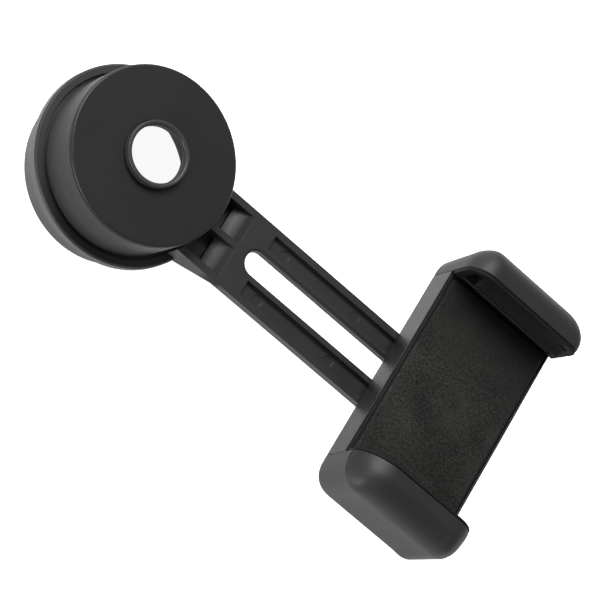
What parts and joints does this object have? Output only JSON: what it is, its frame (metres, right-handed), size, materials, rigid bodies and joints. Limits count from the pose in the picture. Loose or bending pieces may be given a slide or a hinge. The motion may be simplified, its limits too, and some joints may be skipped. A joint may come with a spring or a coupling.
{
  "type": "telescope phone adapter",
  "caption": "Eyepiece cup with a camera hole on a slotted arm that carries a sprung phone clamp, held by a thumb screw under the arm.",
  "frame": {"origin": "on the optical axis, in the plane of the rear rim that the part rests on", "axes": "+Z along the optical axis towards the phone, +X along the arm towards the phone clamp, +Y towards the sliding jaw"},
  "size_m": [0.1622, 0.0857, 0.0437],
  "materials": {
    "moulded_black": "satin",
    "soft_rubber": "matte",
    "foam": "fine matte foam",
    "steel": "bright"
  },
  "bodies": {
    "mount": {"arm_ring": "moulded_black", "front_cover": "moulded_black", "cover_screws": "steel", "retaining_ring": "steel"},
    "turning_ring": {"clamp_ring": "moulded_black", "claw_pivot_pins": "steel"},
    "claw_a": {"claw_1": "moulded_black", "claw_pad_1": "soft_rubber"},
    "claw_b": {"claw_2": "moulded_black", "claw_pad_2": "soft_rubber"},
    "claw_c": {"claw_3": "moulded_black", "claw_pad_3": "soft_rubber"},
    "carriage": {"stud_washer": "steel"},
    "thumb_screw": {"knob": "moulded_black", "clamp_stud": "steel"},
    "phone_clamp": {"clamp_housing": "moulded_black", "front_plate": "moulded_black", "plate_screws": "steel", "phone_pad": "foam", "threaded_nut": "steel", "jaw_springs": "steel", "lower_jaw": "moulded_black", "jaw_screws": "steel", "lower_grip": "soft_rubber"},
    "sliding_jaw": {"upper_jaw": "moulded_black", "upper_grip": "soft_rubber"}
  },
  "joints": [
    {"name": "ring_turn", "type": "hinge", "parent": "mount", "child": "turning_ring", "pos_m": [0, 0, 0.005], "axis": [0, 0, 1], "range_deg": [0, 42]},
    {"name": "claw_a_swing", "type": "hinge", "parent": "turning_ring", "child": "claw_a", "pos_m": [0.01844, 0.00899, 0.006], "axis": [0, 0, 1], "range_deg": [-26.2, 0]},
    {"name": "claw_b_swing", "type": "hinge", "parent": "turning_ring", "child": "claw_b", "pos_m": [-0.01701, 0.01148, 0.006], "axis": [0, 0, 1], "range_deg": [-26.2, 0]},
    {"name": "claw_c_swing", "type": "hinge", "parent": "turning_ring", "child": "claw_c", "pos_m": [-0.00143, -0.02047, 0.006], "axis": [0, 0, 1], "range_deg": [-26.2, 0]},
    {"name": "arm_slide", "type": "slide", "parent": "mount", "child": "carriage", "axis": [1, 0, 0], "range_m": [-0.042, 0.005]},
    {"name": "clamp_swivel", "type": "hinge", "parent": "carriage", "child": "phone_clamp", "pos_m": [0.11223, 0, 0.0195], "axis": [0, 0, 1], "continuous": true},
    {"name": "knob_turn", "type": "hinge", "parent": "carriage", "child": "thumb_screw", "pos_m": [0.11223, 0, 0.008], "axis": [0, 0, 1], "continuous": true},
    {"name": "jaw_slide", "type": "slide", "parent": "phone_clamp", "child": "sliding_jaw", "axis": [0, 1, 0], "range_m": [0, 0.028], "stiffness_N_per_m": 200, "springref_m": -0.02}
  ],
  "couplings": [
    {"joint": "claw_a_swing", "follows": "ring_turn", "ratio": -0.61905},
    {"joint": "claw_b_swing", "follows": "ring_turn", "ratio": -0.61905},
    {"joint": "claw_c_swing", "follows": "ring_turn", "ratio": -0.61905}
  ]
}
